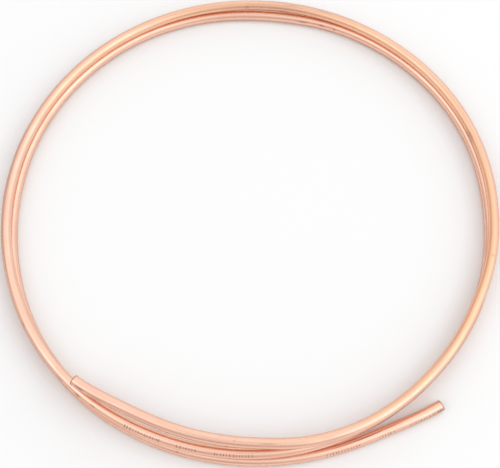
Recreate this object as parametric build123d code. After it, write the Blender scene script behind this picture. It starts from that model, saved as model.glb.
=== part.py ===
from build123d import *
import math
import os

# A loose coil of soft copper tube: one length of tube wound about two and a quarter
# turns and laid flat, with its two cut ends free. Millimetres and degrees.
# The viewer is at -Y: +X is to the viewer's right, +Z is up, and the floor is Z = 0.

# Tube stock
tube_od = 6.35  # quarter inch soft tube
tube_wall = 0.8
rim_round = 0.5  # radius of the outer edge of each end, rolled over by the tube cutter

# Coil
coil_radius = 143.5  # of the tube's centre line, where the winding neither leans out nor in
turn_gap = 0.2  # left between turns that lie on each other
start_angle = 312.4  # of the outer end, anticlockwise from +X
winding_angle = 805.0  # from the outer end to the upper one, clockwise as seen from above
runs = 54  # straight runs of the path before its corners are rounded
arc_share = 0.45  # of the shorter run beside a corner, taken up by its arc

turn_pitch = tube_od + turn_gap

# How far the winding leans outward from coil_radius, in turn pitches, by degrees of winding.
# The outer end springs out, and the last third of a turn dips inward before its end.
LEAN = [
    (0, 2.2), (12, 1.2), (24, 0.85), (42, 0.65), (66, 0.5), (84, 0.35),
    (102, 0.1), (120, -0.2), (138, -0.35), (162, -0.3), (192, -0.3), (210, -0.45),
    (228, -0.6), (246, -0.35), (264, -0.2), (288, -0.1), (312, -0.25), (336, -0.1),
    (354, -0.15), (372, 0.0), (396, 0.25), (420, 0.3), (450, 0.35), (480, 0.1),
    (510, 0.0), (540, -0.05), (570, -0.05), (590, 0.0), (612, 0.0), (648, 0.1),
    (672, 0.0), (684, -0.05), (698, -0.2), (714, -0.1), (738, 0.15), (750, 0.0),
    (762, -0.4), (780, -0.6), (792, -0.55), (805, 0.1),
]

# How high the winding rides above a tube lying on the floor, in turn pitches.
# The first turn lies on the floor, the second climbs on to it and the last rests on both.
LIFT = [
    (0, 0.0), (300, 0.0), (312, 0.0), (330, 0.05), (348, 0.17), (366, 0.48), (384, 0.82),
    (396, 0.93), (420, 0.98), (450, 1.02), (462, 1.0), (480, 0.96), (510, 0.95),
    (540, 0.98), (560, 0.96), (575, 0.9), (590, 0.87), (606, 0.95), (620, 0.98),
    (640, 1.0), (672, 1.0), (684, 1.03), (696, 1.1), (708, 1.22), (720, 1.42),
    (732, 1.66), (744, 1.86), (756, 1.92), (780, 1.94), (792, 2.0), (805, 2.17),
]


def slope_at(stations, i):
    """Slope of the smooth curve at station i, taken from the stations beside it."""
    before = stations[max(i - 1, 0)]
    after = stations[min(i + 1, len(stations) - 1)]
    return (after[1] - before[1]) / (after[0] - before[0])


def smooth_value(stations, turn):
    """Value at a degree of winding, on a smooth curve through the stations."""
    turn = min(max(turn, stations[0][0]), stations[-1][0])
    i = max(k for k in range(len(stations) - 1) if stations[k][0] <= turn)
    (t0, v0), (t1, v1) = stations[i], stations[i + 1]
    span = t1 - t0
    u = (turn - t0) / span
    bend_in = (u**3 - 2 * u**2 + u) * slope_at(stations, i) * span
    bend_out = (u**3 - u**2) * slope_at(stations, i + 1) * span
    return v0 + (3 * u**2 - 2 * u**3) * (v1 - v0) + bend_in + bend_out


def winding_point(turn, corner):
    """Point of the path at a degree of winding. A corner stands out, so that its runs touch the coil."""
    angle = math.radians(start_angle - turn)
    radius = coil_radius + turn_pitch * smooth_value(LEAN, turn)
    if corner:
        radius /= math.cos(math.radians(winding_angle / runs / 2))
    height = tube_od / 2 + turn_pitch * smooth_value(LIFT, turn)
    return Vector(radius * math.cos(angle), radius * math.sin(angle), height)


def tube_path():
    """Straight runs joined by tangent arcs, with the corners and the arc radii."""
    points = [winding_point(winding_angle * i / runs, 0 < i < runs) for i in range(runs + 1)]
    radii = []
    for a, b, c in zip(points, points[1:], points[2:]):
        half_turn = math.radians((b - a).get_angle(c - b) / 2)
        shorter = min((b - a).length, (c - b).length)
        radii.append(arc_share * shorter / math.tan(half_turn))
    return FilletPolyline(*points, radius=radii), points, radii


def copper_tube():
    """The tube: its outside and its bore swept along one path, with both rims rolled over."""
    path, points, radii = tube_path()
    start = Plane(origin=points[0], z_dir=points[1] - points[0])
    section = start * (Circle(tube_od / 2) - Circle(tube_od / 2 - tube_wall))
    tube = sweep(section, path=path)
    rims = []
    for end in (points[0], points[-1]):
        circles = tube.edges().filter_by(GeomType.CIRCLE).sort_by_distance(end)
        rims.append(max(circles[:2], key=lambda edge: edge.radius))
    return fillet(rims, rim_round), path, points, radii


def report(tube, path, points, radii, shift):
    """Print what shows that the sweep came out right, and where the straight free ends lie."""
    section = math.pi * ((tube_od / 2) ** 2 - (tube_od / 2 - tube_wall) ** 2)
    print("path length", round(path.length, 2), "arc radii", round(min(radii), 1), round(max(radii), 1))
    print("volume", round(tube.volume, 1), "section times length", round(section * path.length, 1))
    for name, (tip, inner, next_in) in (("outer", points[:3]), ("upper", points[:-4:-1])):
        way = (tip - inner).normalized()
        arc_start = arc_share * min((tip - inner).length, (inner - next_in).length)
        straight = (tip - inner).length - arc_start - rim_round
        middle = tip + shift - way * (rim_round + straight / 2)
        print(name, "end: straight for", round(straight, 2), "about", [round(v, 3) for v in middle])
        print("  points along", [round(v, 5) for v in way])


tube, path, points, radii = copper_tube()
box = tube.bounding_box()
shift = Vector(-box.center().X, -box.center().Y, 0)  # sets the origin under the middle of the coil
tube = tube.moved(Location(shift))
os.makedirs("parts", exist_ok=True)
export_step(tube, "parts/copper_tube.step")
report(tube, path, points, radii, shift)
print("coil centre", [round(v, 3) for v in shift])
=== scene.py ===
import math

import bpy
import numpy as np
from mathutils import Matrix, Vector


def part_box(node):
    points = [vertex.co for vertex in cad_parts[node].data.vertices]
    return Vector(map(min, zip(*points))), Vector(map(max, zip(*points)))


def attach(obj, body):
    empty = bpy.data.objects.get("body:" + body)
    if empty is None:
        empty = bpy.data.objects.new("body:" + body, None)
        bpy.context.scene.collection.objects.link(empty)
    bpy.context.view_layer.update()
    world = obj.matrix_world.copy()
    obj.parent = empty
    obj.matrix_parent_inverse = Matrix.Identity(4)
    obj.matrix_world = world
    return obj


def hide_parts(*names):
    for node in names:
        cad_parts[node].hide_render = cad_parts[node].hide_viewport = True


# The looks of a loose coil of soft copper tube, lying on a pale floor. Metres, in the frame of
# the CAD model: the viewer is at -Y, +X is to the viewer's right and the floor is Z = 0.
# A place on the tube is given by degrees of winding from its outer end, clockwise from above, and
# by degrees around it, from its top towards the outside of the coil.

MM = 0.001

# Tube stock, as in the CAD model
TUBE_RADIUS = 3.175 * MM
BORE_RADIUS = 2.375 * MM
RIM_ROUND = 0.5 * MM  # outer edge of each end, rolled over by the cutter
MOUTH_RADIUS = 2.27 * MM  # the cutter also presses the bore's edge inward
MOUTH_DEPTH = 1.2 * MM  # over which the bore regains its width
MOUTH_LIP = [(0.0, 0.45), (0.05, 0.12), (0.16, 0.0)]  # shares of that depth and of the cut's face

# Winding, as in the CAD model: how far it leans outward from COIL_RADIUS and how high it rides
# above a tube on the floor, both in turn pitches, by degrees of winding
COIL_RADIUS = 143.5 * MM
TURN_PITCH = 6.55 * MM
START_ANGLE = 312.4
WINDING_ANGLE = 805.0
LEAN = [
    (0, 2.2), (12, 1.2), (24, 0.85), (42, 0.65), (66, 0.5), (84, 0.35),
    (102, 0.1), (120, -0.2), (138, -0.35), (162, -0.3), (192, -0.3), (210, -0.45),
    (228, -0.6), (246, -0.35), (264, -0.2), (288, -0.1), (312, -0.25), (336, -0.1),
    (354, -0.15), (372, 0.0), (396, 0.25), (420, 0.3), (450, 0.35), (480, 0.1),
    (510, 0.0), (540, -0.05), (570, -0.05), (590, 0.0), (612, 0.0), (648, 0.1),
    (672, 0.0), (684, -0.05), (698, -0.2), (714, -0.1), (738, 0.15), (750, 0.0),
    (762, -0.4), (780, -0.6), (792, -0.55), (805, 0.1),
]
LIFT = [
    (0, 0.0), (300, 0.0), (312, 0.0), (330, 0.05), (348, 0.17), (366, 0.48), (384, 0.82),
    (396, 0.93), (420, 0.98), (450, 1.02), (462, 1.0), (480, 0.96), (510, 0.95),
    (540, 0.98), (560, 0.96), (575, 0.9), (590, 0.87), (606, 0.95), (620, 0.98),
    (640, 1.0), (672, 1.0), (684, 1.03), (696, 1.1), (708, 1.22), (720, 1.42),
    (732, 1.66), (744, 1.86), (756, 1.92), (780, 1.94), (792, 2.0), (805, 2.17),
]

# Mesh
CENTRE_LINE_SAMPLES = 6000
SIDES = 56  # points around each ring
OUTSIDE_RINGS = 1150
BORE_RINGS = 160
ROLL_STEPS = 6

# Texture map: the uncoiled outside in rows, then a row for the bore and one for both rims
OUTSIDE_ROWS = 10
ROW_MARGIN = 0.04  # of a row's height, left free on both sides of it
ROW_START, ROW_LENGTH = 0.002, 0.996  # of the map's width
RIM_SPREAD = 2.2  # a row is this many rims long

# Dents and kinks from handling: degrees of winding, degrees around, and in millimetres the depth,
# the length along the tube and the width around it
DENTS = [
    (611, -30, 0.14, 2.6, 3.0), (245, -40, 0.16, 2.8, 3.0), (581, -55, 0.08, 1.6, 2.6),
    (684.5, 5, 0.07, 1.2, 3.0), (747, 15, 0.16, 5.0, 2.6), (58, 35, 0.06, 2.0, 2.0),
    (652, -60, 0.07, 3.0, 2.4), (536, -20, 0.05, 3.0, 2.4), (148, -30, 0.05, 4.0, 3.0),
    (300, -50, 0.05, 3.0, 3.0), (718, 30, 0.05, 6.0, 3.0),
]
# Faint unevenness pressed into the outside: wavelength in metres, lobes around, depth in
# millimetres. Each wave sways along the tube, over a multiple of its length, and twists around it.
RIPPLES = [(0.043, 1, 0.028), (0.027, 2, 0.020), (0.071, 1, 0.040)]
RIPPLE_SWAY = 2.1
RIPPLE_SWAY_LENGTH = 2.7
RIPPLE_TWIST = 0.6
HANDLING_FADE = 6 * MM  # from each rolled rim, over which all this sets in

# Dark brown spots and streaks: degrees of winding, degrees around, length and width in
# millimetres, strength. The two at the far tip, where it lies on the turn below, are painted
# shade.
SPOTS_AND_SHADE = [
    (438.4, 39, 4.2, 1.1, 0.65), (442.6, 49, 4.8, 1.2, 0.9), (448, 52, 6.0, 0.9, 0.5),
    (463, 50, 5.0, 1.5, 0.45), (802.6, 51, 6.5, 1.5, 0.85), (798.5, 58, 12.0, 1.1, 0.5),
    (652.5, -70, 11.0, 4.4, 0.4), (58, 37, 2.2, 1.4, 0.5), (236.5, -58, 7.0, 1.2, 0.8),
    (241.5, -54, 5.0, 1.2, 0.75), (245, -60, 2.0, 1.4, 0.7), (758.5, 16, 11.0, 0.6, 0.7),
    (766, 6, 2.0, 0.6, 0.6), (17.5, -6, 24.0, 0.8, 1.0), (13, -9, 22.0, 0.5, 0.6),
    (23, -2, 18.0, 0.5, 0.6), (593, 0, 9.0, 0.6, 0.55), (601.5, 4, 11.0, 0.6, 0.55),
    (591, -88, 9.0, 1.6, 0.45), (581.5, -62, 3.0, 3.0, 0.3), (684.6, 10, 2.2, 3.2, 0.3),
    (0.9, 62, 4.0, 3.0, 0.7), (740, 34, 26.0, 0.5, 0.4), (743, 45, 20.0, 0.5, 0.4),
    (722, 42, 44.0, 0.6, 0.35), (703, -34, 60.0, 0.5, 0.35), (775, 20, 50.0, 0.5, 0.3),
]
SPOT_WANDER = 0.45  # of a spot's half width, by which its edge strays either way
SPOT_FADE = (0.3, 1.3)  # of a spot's half width: as far as it is full, and where it ends
# Each tip turns a darker brown towards its end.
RIM_DARKENING = (0.44 * MM, 1.1 * MM)  # from each tip: as far as the brown is full, and where it ends
RIM_DARKENING_STRENGTH = 0.8

# Wide soft patches: from and to in degrees of winding, from and to in degrees around, strength.
# The last turn has a warmer tone along its top. Most patches of the second list lie on the
# tube's sides and are painted shade, which stands in for the shadowed floor mirrored there;
# the rest are dull metal.
WARM_PATCHES = [
    (520, 560, -120, 14, 0.6), (556, 636, -120, 14, 0.85), (632, 700, -120, 14, 1.0),
    (700, 736, -48, 14, 0.9), (678, 714, -60, 34, 1.0), (738, 754, -70, 14, 0.4),
    (404, 434, -100, -38, 0.7),
]
DULL_AND_SHADED = [
    (446, 482, 44, 110, 0.35), (476, 514, 36, 110, 0.6), (576, 602, -110, -58, 0.4),
    (646, 660, -100, -50, 0.3), (708, 736, 50, 76, 0.25), (782, 806, 42, 72, 0.3),
    (0, 7, 45, 90, 0.35), (560, 602, -70, 0, 0.25), (586, 612, 0, 36, 0.35),
    (626, 658, -46, 0, 0.22),
]
PATCH_SOFTNESS = (22 * MM, 13.0)  # of their borders: along the tube and in degrees around

# Plain upright ticks in dark ink: from and to in degrees of winding, and the degrees around of
# their middle. Chance moves, shortens and wears each of them.
MARK_RUNS = [
    (1, 8.2, 55), (11, 15, 54), (19, 26.5, 53),
    (402, 410.5, 40), (414, 418.5, 40), (422, 430.5, 40),
]
MARK_PITCH = 1.7 * MM
MARK_WIDTH = 0.26  # of the pitch
MARK_EDGE = 0.06  # of the pitch, by which its sides fade either way
MARK_SHIFT = (0.35, 0.3)  # of the pitch: the least place of a tick in it, and what chance adds
MARK_REACH = (11.76, 9.24)  # in degrees either way from the middle: the least, and what is added
MARK_TIP = 2.0  # degrees around, by which its ends fade either way
MARK_STRENGTH = (0.5, 0.5)  # the least, and what chance adds

# Colours of the copper, from the bare metal to the spots, the painted shade and the ink
PALE_COPPER = (0.955, 0.622, 0.482, 1)
DEEP_COPPER = (0.935, 0.575, 0.44, 1)
CLOUDED_COPPER = (0.92, 0.56, 0.44, 1)
# a warmer tone for some patches, most along the top of the last turn
WARM_TONE_COLOUR = (0.965, 0.565, 0.36, 1)
# dull metal, and painted shade on the tube's sides
DULL_AND_SHADE_COLOUR = (0.50, 0.33, 0.27, 1)
DIE_LINE_COLOUR = (0.82, 0.46, 0.33, 1)
# dark spots, and painted shade where the far tip lies on the turn below
SPOT_AND_SHADE_COLOUR = (0.34, 0.17, 0.12, 1)
INK_COLOUR = (0.24, 0.12, 0.09, 1)
SHADED_EDGE_TINT = (0.70, 0.60, 0.54, 1)  # painted shade, darker where seen aslant
CLOUD_STRENGTH = 0.5
DIE_LINE_STRENGTH = 0.35
SPOT_AND_SHADE_STRENGTH = 0.85
INK_STRENGTH = 0.85

# Noise on the uncoiled skin: share of the skin's length that counts, scale per metre, detail and
# roughness
TONE_NOISE = (0.35, 160.0, 3.0, 0.55)
CLOUD_NOISE = (1.0, 28.0, 2.0, 0.5)
DIE_LINE_NOISE = (0.012, 1900.0, 2.0, 0.6)
GRAIN_NOISE = (1.0, 5200.0, 2.0, 0.5)
SPOT_EDGE_NOISE = (1.0, 1500.0, 3.0, 0.5)

# Finish of the copper: its roughness in the pale and in the deep tone, and what the clouds, the
# spots and the ink add to it
BARE_ROUGHNESS = (0.23, 0.31)
CLOUD_ROUGHNESS = 0.07
SPOT_ROUGHNESS = 0.15
INK_ROUGHNESS = 0.12
# Relief too fine for the mesh: its height, and how many times that each pattern rises
RELIEF = 0.012 * MM
DIE_LINE_RELIEF = 1.3
TONE_RELIEF = 0.8
GRAIN_RELIEF = 0.04

# Camera, worked out from how the coil foreshortens in the photo
PHOTO_WIDTH = 500
FOCAL_PIXELS = 1177.0
VIEW_ELEVATION = math.radians(67)
VIEW_DISTANCE = 0.7
VIEW_TARGET = Vector((-0.13, -9.52, 0.12)) * MM
NEAR_CLIP = 10 * MM

# Surroundings, which light the tube and show in it: an even base, and broad glows with azimuth
# and elevation in degrees, sharpness and brightness. The one straight overhead dims the base,
# which is warmer than the glows.
SKY_BASE = 0.53
SKY_GLOWS = [
    (331, 44, 6.0, 0.99), (199, 54, 9.0, 1.19), (25, 71, 10.0, 0.57), (138, 64, 20.0, 0.29),
    (52, 17, 2.0, 0.40), (0, 90, 50.0, -0.76), (90, 30, 5.0, 0.32), (340, 15, 5.0, 0.27),
]
BASE_TINT = (1.18, 1.0, 0.97)
GLOW_TINT = (0.80, 1.0, 1.03)

FLOOR_COLOUR = (0.87, 0.855, 0.855, 1)
FLOOR_HALF = 8.0  # so wide that it is the whole background, from low down too


def slope_at(stations, i):
    """Slope of the smooth curve at station i, taken from the stations beside it."""
    before = stations[max(i - 1, 0)]
    after = stations[min(i + 1, len(stations) - 1)]
    return (after[1] - before[1]) / (after[0] - before[0])


def smooth_value(stations, turn):
    """Value at a degree of winding, on a smooth curve through the stations."""
    turn = min(max(turn, stations[0][0]), stations[-1][0])
    i = max(k for k in range(len(stations) - 1) if stations[k][0] <= turn)
    (t0, v0), (t1, v1) = stations[i], stations[i + 1]
    span = t1 - t0
    u = (turn - t0) / span
    bend_in = (u**3 - 2 * u**2 + u) * slope_at(stations, i) * span
    bend_out = (u**3 - u**2) * slope_at(stations, i + 1) * span
    return v0 + (3 * u**2 - 2 * u**3) * (v1 - v0) + bend_in + bend_out


class Winding:
    """The centre line of the tube, sampled finely, with the distance along it."""

    def __init__(self):
        self.turn = np.linspace(0, WINDING_ANGLE, CENTRE_LINE_SAMPLES)
        angle = np.radians(START_ANGLE - self.turn)
        radius = COIL_RADIUS + TURN_PITCH * np.array([smooth_value(LEAN, t) for t in self.turn])
        height = TUBE_RADIUS + TURN_PITCH * np.array([smooth_value(LIFT, t) for t in self.turn])
        self.point = np.stack([radius * np.cos(angle), radius * np.sin(angle), height], 1)
        steps = np.linalg.norm(np.diff(self.point, axis=0), axis=1)
        self.along = np.concatenate([[0], np.cumsum(steps)])
        self.length = self.along[-1]
        way = np.gradient(self.point, self.along, axis=0)
        self.way = way / np.linalg.norm(way, axis=1)[:, None]

    def along_at(self, turn):
        return float(np.interp(turn, self.turn, self.along))

    def frames(self, along):
        """Centre, outward and upward directions of the cross-sections at these distances."""
        centre = np.stack([np.interp(along, self.along, self.point[:, k]) for k in range(3)], 1)
        way = np.stack([np.interp(along, self.along, self.way[:, k]) for k in range(3)], 1)
        way /= np.linalg.norm(way, axis=1)[:, None]
        outward = np.cross([0.0, 0.0, 1.0], way)
        outward /= np.linalg.norm(outward, axis=1)[:, None]
        return centre, outward, np.cross(way, outward)


def rim_profile():
    """Depth from the tip and radius, from the outside over the rolled rim into the bore."""
    profile = []
    for step in range(1, ROLL_STEPS + 1):
        a = math.radians(90) * step / ROLL_STEPS
        depth = RIM_ROUND * (1 - math.sin(a))
        profile.append((depth, TUBE_RADIUS - RIM_ROUND * (1 - math.cos(a))))
    cut_face = TUBE_RADIUS - RIM_ROUND - MOUTH_RADIUS
    profile += [(depth * MOUTH_DEPTH, MOUTH_RADIUS + rise * cut_face) for depth, rise in MOUTH_LIP]
    profile.append((MOUTH_DEPTH / 2, (MOUTH_RADIUS + BORE_RADIUS) / 2))
    profile.append((MOUTH_DEPTH, BORE_RADIUS))
    return profile


def skin_rings(winding):
    """Distance along the tube and radius of each ring of the skin, and how many a rim takes."""
    rim = rim_profile()
    outside = np.linspace(RIM_ROUND, winding.length - RIM_ROUND, OUTSIDE_RINGS)
    bore = np.linspace(winding.length - MOUTH_DEPTH, MOUTH_DEPTH, BORE_RINGS)[1:-1]
    depth, width = np.array(rim).T
    along = np.concatenate([outside, winding.length - depth, bore, depth[::-1]])
    radius = np.concatenate([
        np.full(len(outside), TUBE_RADIUS), width, np.full(len(bore), BORE_RADIUS), width[::-1],
    ])
    return along, radius, len(rim)


def handled_depth(winding, along, around):
    """How far handling has pressed the outside in, in metres."""
    depth = np.zeros_like(along)
    for wavelength, lobes, size in RIPPLES:
        sway = RIPPLE_SWAY * np.sin(along / (RIPPLE_SWAY_LENGTH * wavelength))
        phase = 2 * math.pi * along / wavelength + sway
        wave = np.sin(phase) * np.cos(lobes * np.radians(around) + RIPPLE_TWIST * phase)
        depth += size * MM * (0.5 - 0.5 * wave)
    for turn, middle, press, length, width in DENTS:
        off_along = (along - winding.along_at(turn)) / (length * MM)
        off_around = np.radians((around - middle + 180) % 360 - 180) * TUBE_RADIUS / (width * MM)
        depth += press * MM * np.exp(-(off_along**2) - off_around**2)
    from_rim = np.minimum(along, winding.length - along) - RIM_ROUND
    return depth * np.clip(from_rim / HANDLING_FADE, 0, 1)


def tube_mesh(winding):
    """The whole tube as one closed skin: outside, far rim, bore and near rim, ring by ring."""
    ring_along, ring_radius, rim_rings = skin_rings(winding)
    rings = len(ring_along)
    ring_around = np.arange(SIDES) * 360.0 / SIDES - 180.0
    sine, cosine = np.sin(np.radians(ring_around)), np.cos(np.radians(ring_around))
    centre, outward, upward = winding.frames(ring_along)
    along = np.repeat(ring_along[:, None], SIDES, 1)
    around = np.repeat(ring_around[None, :], rings, 0)
    radius = np.repeat(ring_radius[:, None], SIDES, 1)
    radius[:OUTSIDE_RINGS] -= handled_depth(winding, along, around)[:OUTSIDE_RINGS]
    spoke = sine[None, :, None] * outward[:, None, :] + cosine[None, :, None] * upward[:, None, :]
    points = centre[:, None, :] + radius[:, :, None] * spoke
    straight = np.stack([along, radius * sine, radius * cosine], 2)

    ring = np.repeat(np.arange(rings), SIDES)
    side = np.tile(np.arange(SIDES), rings)
    here, ahead = ring * SIDES, (ring + 1) % rings * SIDES
    next_side = (side + 1) % SIDES
    faces = np.stack([here + side, ahead + side, ahead + next_side, here + next_side], 1)
    mesh = bpy.data.meshes.new("copper_tube_skin")
    mesh.from_pydata(points.reshape(-1, 3).tolist(), [], faces.tolist())
    mesh.shade_smooth()
    uncoiled = mesh.attributes.new("straight", "FLOAT_VECTOR", "POINT")
    uncoiled.data.foreach_set("vector", straight.astype(np.float32).ravel())
    add_texture_map(mesh, ring, side, rim_rings)
    return mesh


def add_texture_map(mesh, ring, side, rim_rings):
    """Lays the uncoiled skin out in rows, so that a baked texture keeps its sharpness."""
    row_rings = math.ceil((OUTSIDE_RINGS - 1) / OUTSIDE_ROWS)
    rows = OUTSIDE_ROWS + 2
    outside_end = OUTSIDE_RINGS - 1
    bore_start = outside_end + rim_rings
    bore_end = ring[-1] + 1 - rim_rings
    on_outside = ring < outside_end
    on_far_rim = ~on_outside & (ring < bore_start)
    on_bore = (ring >= bore_start) & (ring < bore_end)
    row = np.select([on_outside, on_bore], [ring // row_rings, OUTSIDE_ROWS], OUTSIDE_ROWS + 1)
    start = np.select(
        [on_outside, on_bore, on_far_rim], [row * row_rings, bore_start, outside_end], bore_end
    )
    length = np.select(
        [on_outside, on_bore], [row_rings, bore_end - bore_start], RIM_SPREAD * (rim_rings + 1)
    )
    shift = np.where(on_outside | on_bore | on_far_rim, 0.0, 0.5)
    corner_ring = np.array([0, 1, 1, 0])
    corner_side = np.array([0, 0, 1, 1])
    u = (ring[:, None] + corner_ring - start[:, None]) / length[:, None] + shift[:, None]
    in_row = ROW_MARGIN + (1 - 2 * ROW_MARGIN) * (side[:, None] + corner_side) / SIDES
    v = (row[:, None] + in_row) / rows
    layer = mesh.uv_layers.new(name="OFBake")
    places = np.stack([ROW_START + ROW_LENGTH * u, v], 2)
    layer.uv.foreach_set("vector", places.astype(np.float32).ravel())


class Nodes:
    """Short ways to add shader nodes and link them."""

    def __init__(self, tree):
        self.tree = tree
        tree.nodes.clear()

    def add(self, kind, inputs=(), **settings):
        node = self.tree.nodes.new("ShaderNode" + kind)
        for name, value in settings.items():
            setattr(node, name, value)
        for name, value in dict(inputs).items():
            self.feed(node.inputs[name], value)
        return node

    def feed(self, socket, value):
        if isinstance(value, bpy.types.NodeSocket):
            self.tree.links.new(value, socket)
        else:
            socket.default_value = value

    def math(self, operation, *values):
        return self.add("Math", dict(enumerate(values)), operation=operation).outputs[0]

    def all_of(self, operation, values):
        """One value from several, such as their sum or the most of them."""
        result = values[0]
        for value in values[1:]:
            result = self.math(operation, result, value)
        return result

    def ramp(self, value, low, high, to_low=0.0, to_high=1.0):
        """Smooth step from low to high."""
        inputs = {"Value": value, "From Min": low, "From Max": high}
        inputs.update({"To Min": to_low, "To Max": to_high})
        return self.add("MapRange", inputs, interpolation_type="SMOOTHSTEP").outputs["Result"]

    def vector_math(self, operation, inputs, output=0):
        return self.add("VectorMath", inputs, operation=operation).outputs[output]

    def noise(self, straight, settings):
        """Noise on the uncoiled skin. A small share draws its pattern out along the tube."""
        share, scale, detail, roughness = settings
        place = self.vector_math("MULTIPLY", {0: straight, 1: (share, 1.0, 1.0)})
        inputs = {"Vector": place, "Scale": scale, "Detail": detail, "Roughness": roughness}
        return self.add("TexNoise", inputs).outputs["Fac"]

    def blend(self, factor, a, b):
        node = self.add("Mix", data_type="RGBA")
        self.feed(node.inputs["Factor"], factor)
        self.feed(node.inputs[6], a)
        self.feed(node.inputs[7], b)
        return node.outputs[2]

    def by_chance(self, chance, least, added):
        """At least so much, and as much more as chance adds."""
        return self.math("MULTIPLY_ADD", chance, added, least)


def spot_and_shade_mask(nodes, winding, straight, along, around):
    """Where the dark brown spots and the painted shade at the far tip lie, with uneven edges."""
    edge = nodes.noise(straight, SPOT_EDGE_NOISE)
    wander = nodes.math("MULTIPLY_ADD", edge, 2 * SPOT_WANDER, -SPOT_WANDER)
    full, end = SPOT_FADE
    masks = []
    for turn, middle, length, width, strength in SPOTS_AND_SHADE:
        from_middle = nodes.math("SUBTRACT", along, winding.along_at(turn))
        off_along = nodes.math("DIVIDE", from_middle, length * MM / 2)
        half_width = math.degrees(width * MM / 2 / TUBE_RADIUS)
        from_middle = nodes.math("SUBTRACT", around, float(middle))
        off_around = nodes.math("DIVIDE", from_middle, half_width)
        squares = [nodes.math("POWER", off, 2.0) for off in (off_along, off_around)]
        distance = nodes.math("ADD", nodes.math("SQRT", nodes.math("ADD", *squares)), wander)
        masks.append(nodes.ramp(distance, end, full, 0.0, strength))
    return nodes.all_of("MAXIMUM", masks)


def patch_mask(nodes, winding, patches, along, around):
    """Where wide patches lie, fading out at their borders."""
    soft_along, soft_around = PATCH_SOFTNESS
    masks = []
    for first, last, low, high, strength in patches:
        start, end = winding.along_at(first), winding.along_at(last)
        masks.append(nodes.all_of("MULTIPLY", [
            nodes.ramp(along, start - soft_along, start + soft_along),
            nodes.ramp(along, end + soft_along, end - soft_along),
            nodes.ramp(around, low - soft_around, low + soft_around),
            nodes.ramp(around, high + soft_around, high - soft_around, 0.0, strength),
        ]))
    return nodes.all_of("MAXIMUM", masks)


def mark_mask(nodes, winding, along, around):
    """Rows of plain upright ticks of uneven height and wear."""
    place = nodes.math("DIVIDE", along, MARK_PITCH)
    tick = nodes.math("FLOOR", place)
    drawn = nodes.add("TexWhiteNoise", {"W": tick}, noise_dimensions="1D").outputs["Color"]
    chance = nodes.add("SeparateXYZ", {"Vector": drawn}).outputs
    aside = nodes.by_chance(chance["X"], *MARK_SHIFT)
    off = nodes.math("ABSOLUTE", nodes.math("SUBTRACT", nodes.math("FRACT", place), aside))
    stroke = nodes.ramp(off, MARK_WIDTH / 2 + MARK_EDGE, MARK_WIDTH / 2 - MARK_EDGE)
    reach = nodes.by_chance(chance["Y"], *MARK_REACH)
    strength = nodes.by_chance(chance["Z"], *MARK_STRENGTH)
    masks = []
    for first, last, middle in MARK_RUNS:
        start, end = winding.along_at(first), winding.along_at(last)
        inside = nodes.math("COMPARE", along, (start + end) / 2, (end - start) / 2)
        height = nodes.math("ABSOLUTE", nodes.math("SUBTRACT", around, float(middle)))
        within = nodes.ramp(nodes.math("SUBTRACT", reach, height), -MARK_TIP, MARK_TIP)
        masks.append(nodes.math("MULTIPLY", inside, within))
    return nodes.all_of("MULTIPLY", [nodes.all_of("ADD", masks), stroke, strength])


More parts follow.
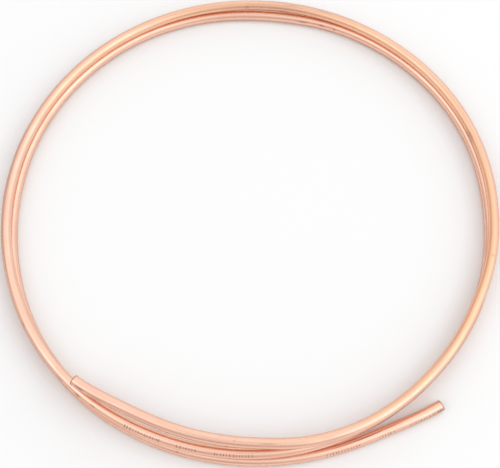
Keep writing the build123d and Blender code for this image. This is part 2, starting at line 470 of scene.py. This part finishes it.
def copper_material(winding):
    """Bright drawn copper: pale to deeper patches, die lines, spots, ink ticks and painted shade.
    """
    material = bpy.data.materials.new("copper")
    material.use_nodes = True
    nodes = Nodes(material.node_tree)
    straight = nodes.add("Attribute", attribute_name="straight").outputs["Vector"]
    parts = nodes.add("SeparateXYZ", {"Vector": straight}).outputs
    along = parts["X"]
    around = nodes.math("DEGREES", nodes.math("ARCTAN2", parts["Y"], parts["Z"]))

    tones = nodes.noise(straight, TONE_NOISE)
    clouds = nodes.noise(straight, CLOUD_NOISE)
    die_lines = nodes.noise(straight, DIE_LINE_NOISE)
    grain = nodes.noise(straight, GRAIN_NOISE)
    from_tip = nodes.math("MINIMUM", along, nodes.math("SUBTRACT", winding.length, along))
    full, end = RIM_DARKENING
    rim_dark = nodes.ramp(from_tip, end, full, 0.0, RIM_DARKENING_STRENGTH)
    spots_and_shade = nodes.math("MAXIMUM", spot_and_shade_mask(nodes, winding, straight, along, around), rim_dark)
    marks = mark_mask(nodes, winding, along, around)
    warm_tone = patch_mask(nodes, winding, WARM_PATCHES, along, around)
    dull_and_shade = patch_mask(nodes, winding, DULL_AND_SHADED, along, around)

    colour = nodes.blend(nodes.ramp(tones, 0.3, 0.72), PALE_COPPER, DEEP_COPPER)
    for mask, over in (
        (nodes.ramp(clouds, 0.42, 0.75, 0.0, CLOUD_STRENGTH), CLOUDED_COPPER),
        (warm_tone, WARM_TONE_COLOUR),
        # dull patches, most of them painted shade on the tube's sides
        (dull_and_shade, DULL_AND_SHADE_COLOUR),
        (nodes.ramp(die_lines, 0.42, 0.7, 0.0, DIE_LINE_STRENGTH), DIE_LINE_COLOUR),
        # spots, and painted shade where the far tip lies on the turn below
        (nodes.math("MULTIPLY", spots_and_shade, SPOT_AND_SHADE_STRENGTH), SPOT_AND_SHADE_COLOUR),
        (nodes.math("MULTIPLY", marks, INK_STRENGTH), INK_COLOUR),
    ):
        colour = nodes.blend(mask, colour, over)

    roughness = nodes.all_of("ADD", [
        nodes.ramp(tones, 0.25, 0.75, *BARE_ROUGHNESS),
        nodes.ramp(clouds, 0.4, 0.8, 0.0, CLOUD_ROUGHNESS),
        nodes.math("MULTIPLY", spots_and_shade, SPOT_ROUGHNESS),
        nodes.math("MULTIPLY", marks, INK_ROUGHNESS),
    ])
    height = nodes.all_of("ADD", [
        nodes.math("MULTIPLY", die_lines, DIE_LINE_RELIEF),
        nodes.math("MULTIPLY", tones, TONE_RELIEF),
        nodes.math("MULTIPLY", grain, GRAIN_RELIEF),
    ])
    bump = nodes.add("Bump", {"Height": height, "Distance": RELIEF, "Strength": 1.0})
    shader = nodes.add("BsdfPrincipled", {
        "Base Color": colour, "Metallic": 1.0, "Roughness": roughness,
        # The edge tint paints shade along the tube's outlines, where it is seen aslant.
        "Specular Tint": SHADED_EDGE_TINT, "Normal": bump.outputs["Normal"],
    })
    nodes.add("OutputMaterial", {"Surface": shader.outputs["BSDF"]})
    return material


def floor_material():
    """Pale floor, the same to the camera and in the metal, with the coil's soft shadow."""
    material = bpy.data.materials.new("pale_floor")
    material.use_nodes = True
    nodes = Nodes(material.node_tree)
    surface = nodes.add("BsdfDiffuse", {"Color": FLOOR_COLOUR}).outputs["BSDF"]
    nodes.add("OutputMaterial", {"Surface": surface})
    return material


def direction(azimuth, elevation):
    """Unit vector: azimuth anticlockwise from +X, elevation above the floor, in degrees."""
    a, e = math.radians(azimuth), math.radians(elevation)
    return Vector((math.cos(e) * math.cos(a), math.cos(e) * math.sin(a), math.sin(e)))


def light_tent():
    """Soft light from all around, brighter from the right, the same to every kind of ray."""
    world = bpy.data.worlds.new("light_tent")
    world.use_nodes = True
    bpy.context.scene.world = world
    nodes = Nodes(world.node_tree)
    way = nodes.add("TexCoord").outputs["Generated"]
    glows = []
    for azimuth, elevation, sharpness, brightness in SKY_GLOWS:
        towards = {0: way, 1: direction(azimuth, elevation)}
        dot = nodes.vector_math("DOT_PRODUCT", towards, "Value")
        lobe = nodes.math("POWER", nodes.math("MAXIMUM", dot, 0.0), sharpness)
        glows.append(nodes.math("MULTIPLY", lobe, brightness))
    glow = nodes.vector_math("SCALE", {0: GLOW_TINT, "Scale": nodes.all_of("ADD", glows)})
    level = nodes.vector_math("ADD", {0: glow, 1: Vector(BASE_TINT) * SKY_BASE})
    background = nodes.add("Background", {"Color": level, "Strength": 1.0})
    nodes.add("OutputWorld", {"Surface": background.outputs["Background"]})


def soft_lamp(name, azimuth, elevation, distance, size, power):
    """Round lamp that faces the coil. The metal does not mirror it: the tent alone shows there."""
    lamp = bpy.data.lights.new(name, "AREA")
    lamp.shape = "DISK"
    lamp.size = size
    lamp.energy = power
    holder = bpy.data.objects.new(name, lamp)
    bpy.context.scene.collection.objects.link(holder)
    way = direction(azimuth, elevation)
    holder.location = way * distance
    holder.rotation_euler = way.to_track_quat("Z", "Y").to_euler()
    holder.visible_glossy = False


def photo_camera():
    data = bpy.data.cameras.new("photo_camera")
    data.sensor_fit = "HORIZONTAL"
    data.lens = data.sensor_width * FOCAL_PIXELS / PHOTO_WIDTH
    data.clip_start = NEAR_CLIP
    camera = bpy.data.objects.new("photo_camera", data)
    bpy.context.scene.collection.objects.link(camera)
    back = Vector((0, -math.cos(VIEW_ELEVATION), math.sin(VIEW_ELEVATION)))
    camera.location = VIEW_TARGET + back * VIEW_DISTANCE
    camera.rotation_euler = back.to_track_quat("Z", "Y").to_euler()
    bpy.context.scene.camera = camera


def pale_floor():
    corners = [(x * FLOOR_HALF, y * FLOOR_HALF, 0) for x, y in ((-1, -1), (1, -1), (1, 1), (-1, 1))]
    mesh = bpy.data.meshes.new("pale_floor")
    mesh.from_pydata(corners, [], [(0, 1, 2, 3)])
    mesh.materials.append(floor_material())
    floor = bpy.data.objects.new("pale_floor", mesh)
    bpy.context.scene.collection.objects.link(floor)


def centre_on_node(mesh):
    """Moves the mesh so that its middle, seen from above, is the middle of the CAD node."""
    places = np.zeros(len(mesh.vertices) * 3, np.float32)
    mesh.vertices.foreach_get("co", places)
    places = places.reshape(-1, 3)
    middle = (places.min(0) + places.max(0)) / 2
    low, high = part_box("copper_tube")
    shift = [(low.x + high.x) / 2 - middle[0], (low.y + high.y) / 2 - middle[1], 0]
    places += np.array(shift, np.float32)
    mesh.vertices.foreach_set("co", places.ravel())
    mesh.update()


def copper_coil():
    """The tube's skin, set where the CAD node is."""
    winding = Winding()
    mesh = tube_mesh(winding)
    mesh.materials.append(copper_material(winding))
    centre_on_node(mesh)
    coil = bpy.data.objects.new("copper_tube_skin", mesh)
    bpy.context.scene.collection.objects.link(coil)
    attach(coil, "root")
    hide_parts("copper_tube")


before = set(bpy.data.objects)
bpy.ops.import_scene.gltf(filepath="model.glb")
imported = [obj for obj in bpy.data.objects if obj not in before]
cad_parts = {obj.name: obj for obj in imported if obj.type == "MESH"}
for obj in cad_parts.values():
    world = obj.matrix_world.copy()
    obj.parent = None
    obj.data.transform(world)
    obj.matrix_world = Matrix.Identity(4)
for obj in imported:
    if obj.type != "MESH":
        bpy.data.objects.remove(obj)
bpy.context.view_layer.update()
copper_coil()
pale_floor()
light_tent()
soft_lamp("key_lamp", azimuth=10, elevation=42, distance=1.3, size=0.5, power=1.0)
photo_camera()
bpy.context.scene.view_settings.view_transform = "Standard"
